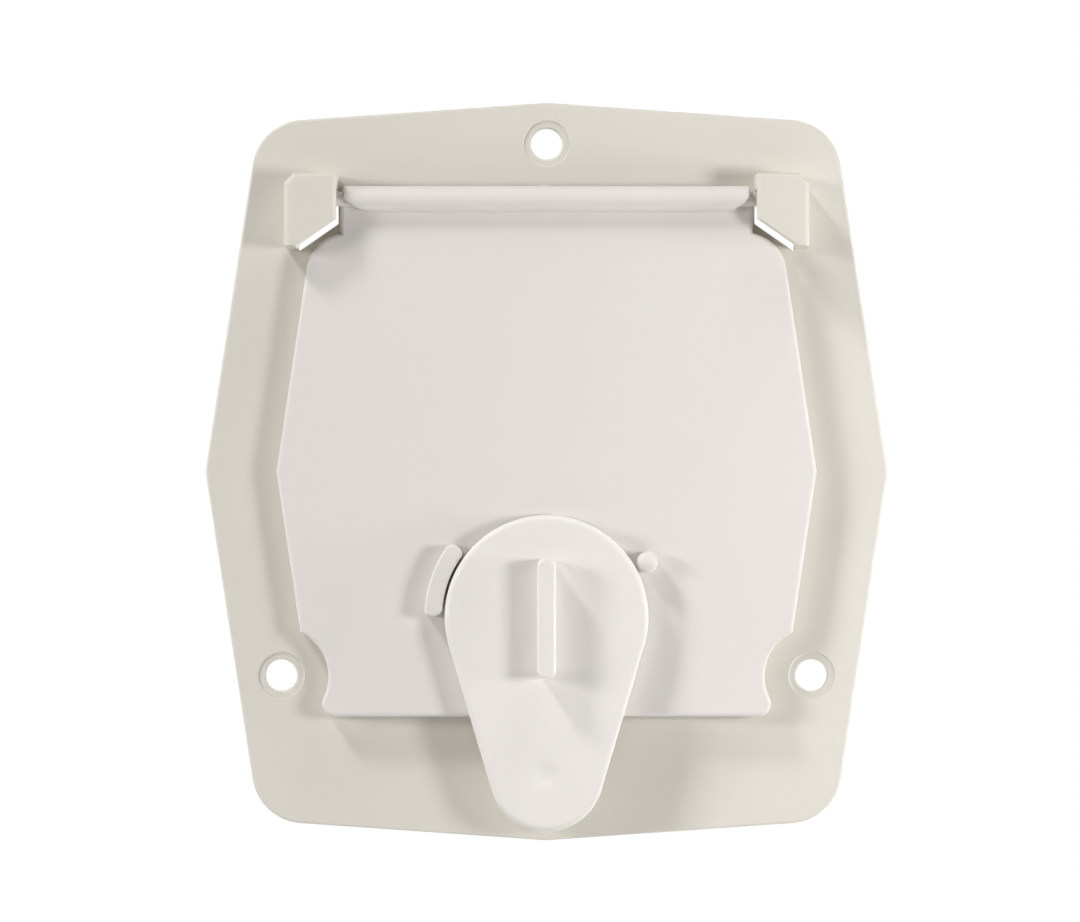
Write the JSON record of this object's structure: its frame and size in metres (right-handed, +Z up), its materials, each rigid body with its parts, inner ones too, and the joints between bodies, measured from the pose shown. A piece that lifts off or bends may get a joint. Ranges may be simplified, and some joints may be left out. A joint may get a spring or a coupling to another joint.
{
  "type": "power cord hatch",
  "caption": "Wall hatch for a power cord: a flange with a hinged door, and a turn flap on the door that covers the slot the cord hangs out of.",
  "frame": {"origin": "centre of the cord mouth, in the plane of the flange's back face, which lies on the wall", "axes": "+Z up, +X to the right of a viewer who faces the hatch, +Y into the wall, so the door faces -Y"},
  "size_m": [0.1298, 0.0346, 0.1406],
  "materials": {
    "frame_plastic": "warm white moulded plastic, satin",
    "door_plastic": "warm white moulded plastic, satin",
    "flap_plastic": "warm white moulded plastic, satin",
    "clip_plastic": "warm white moulded plastic, dull"
  },
  "bodies": {
    "flange": {"mount_plate": "frame_plastic", "wall_collar": "frame_plastic", "hinge_block_left": "frame_plastic", "hinge_block_right": "frame_plastic"},
    "door": {"door_panel": "door_plastic", "hinge_bar": "door_plastic", "stop_arc": "door_plastic", "stop_pin": "door_plastic"},
    "flap": {"turn_flap": "flap_plastic", "grip_rib": "flap_plastic", "pivot_post": "flap_plastic", "post_clip": "clip_plastic"}
  },
  "joints": [
    {"name": "door_hinge", "type": "hinge", "parent": "flange", "child": "door", "pos_m": [0, -0.0067, 0.0516], "axis": [-1, 0, 0], "range_deg": [0, 170]},
    {"name": "flap_turn", "type": "hinge", "parent": "door", "child": "flap", "pos_m": [0, -0.0067, -0.0274], "axis": [0, -1, 0], "range_deg": [-33, 56]}
  ]
}
